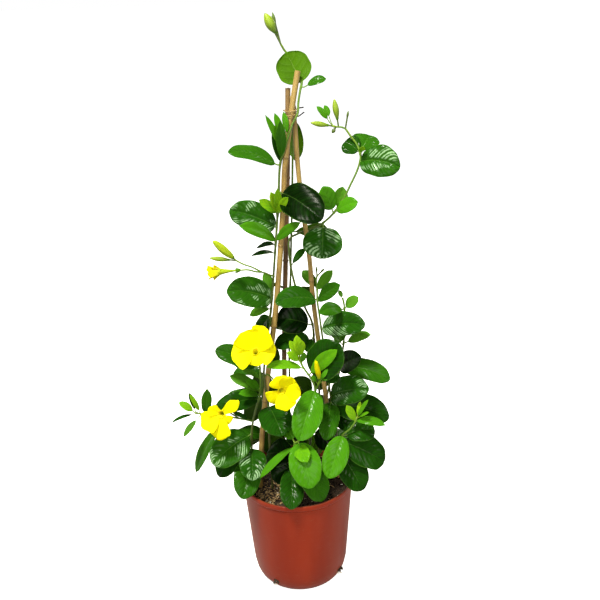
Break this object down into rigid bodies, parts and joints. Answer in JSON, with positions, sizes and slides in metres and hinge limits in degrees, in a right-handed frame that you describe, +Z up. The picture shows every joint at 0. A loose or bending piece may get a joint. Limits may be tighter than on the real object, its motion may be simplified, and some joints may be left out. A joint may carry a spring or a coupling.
{
  "type": "potted flowering vine",
  "caption": "Climbing plant with glossy oval leaves and yellow funnel flowers, trained on tied bamboo canes in a round terracotta-coloured plastic nursery pot.",
  "frame": {"origin": "centre of the pot's flat base, where it rests", "axes": "+Z up along the pot's axis, -Y towards the front that the picture shows, +X to the viewer's right"},
  "size_m": [0.3193, 0.188, 0.8257],
  "materials": {
    "pot_plastic": "satin terracotta-coloured moulded plastic, slightly darker below the rim band",
    "soil": "loose dark brown potting soil with bark crumbs and pale wood fibre",
    "bamboo": "smooth golden bamboo cane with pale rings at its joints",
    "tie_wire": "brown paper-and-wire twist tie, matt",
    "foliage": "glossy waxy green leaves with pale midribs and sunken side veins, on thin green stems",
    "petal": "soft bright yellow petals with a deeper yellow throat"
  },
  "bodies": {
    "root": {"pot": "pot_plastic", "soil": "soil", "cane_left": "bamboo", "cane_back": "bamboo", "cane_right": "bamboo", "tie": "tie_wire", "stem_left_climber": "foliage", "stem_right_climber": "foliage", "stem_left": "foliage", "stem_front_right": "foliage", "stem_low_right": "foliage", "stem_low_front": "foliage", "stem_cane_right": "foliage", "stem_mid_right": "foliage", "stem_back_left": "foliage", "stem_back_right": "foliage", "stem_back_climber": "foliage", "flower_left": "petal", "flower_centre": "petal", "flower_far_left": "petal", "flower_half_open": "petal", "bud_upper": "petal", "bud_lower": "petal"}
  },
  "joints": []
}
